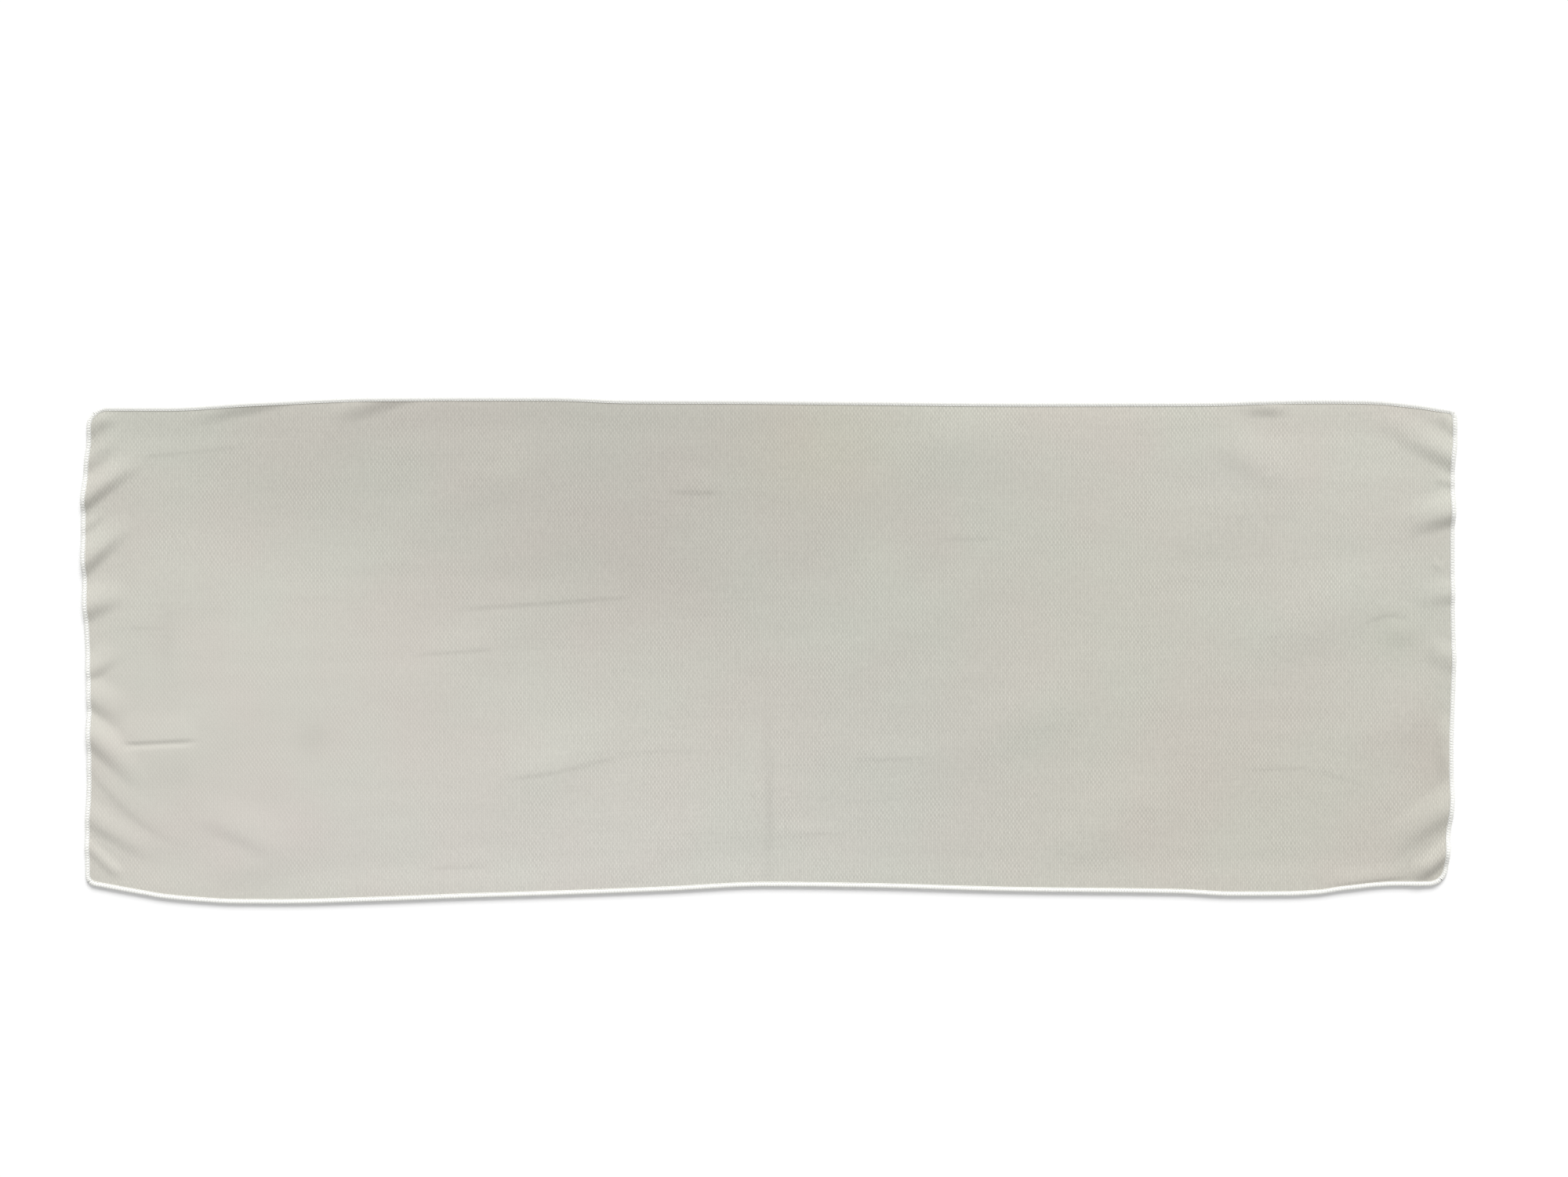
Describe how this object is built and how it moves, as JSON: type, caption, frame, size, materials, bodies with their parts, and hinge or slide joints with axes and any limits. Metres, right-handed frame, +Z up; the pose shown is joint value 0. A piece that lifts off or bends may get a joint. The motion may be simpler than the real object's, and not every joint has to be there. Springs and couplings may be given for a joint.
{
  "type": "cooling towel",
  "caption": "Long narrow towel of pale perforated knit cloth with an overlocked hem, laid out flat, to be wetted and worn round the neck for cooling.",
  "frame": {"origin": "centre of the bottom of the box round the towel, on the surface that it lies on", "axes": "+X along the towel's length, +Y across its width, +Z up out of the surface that it lies on"},
  "size_m": [0.826, 0.305, 0.0057],
  "materials": {
    "cloth": "fine perforated polyester knit, pale grey-beige, matt with a slight sheen",
    "hem_thread": "white textured overlock thread, matt"
  },
  "bodies": {
    "root": {"towel_panel": "cloth", "hem_front": "hem_thread", "hem_right": "hem_thread", "hem_back": "hem_thread", "hem_left": "hem_thread"}
  },
  "joints": []
}
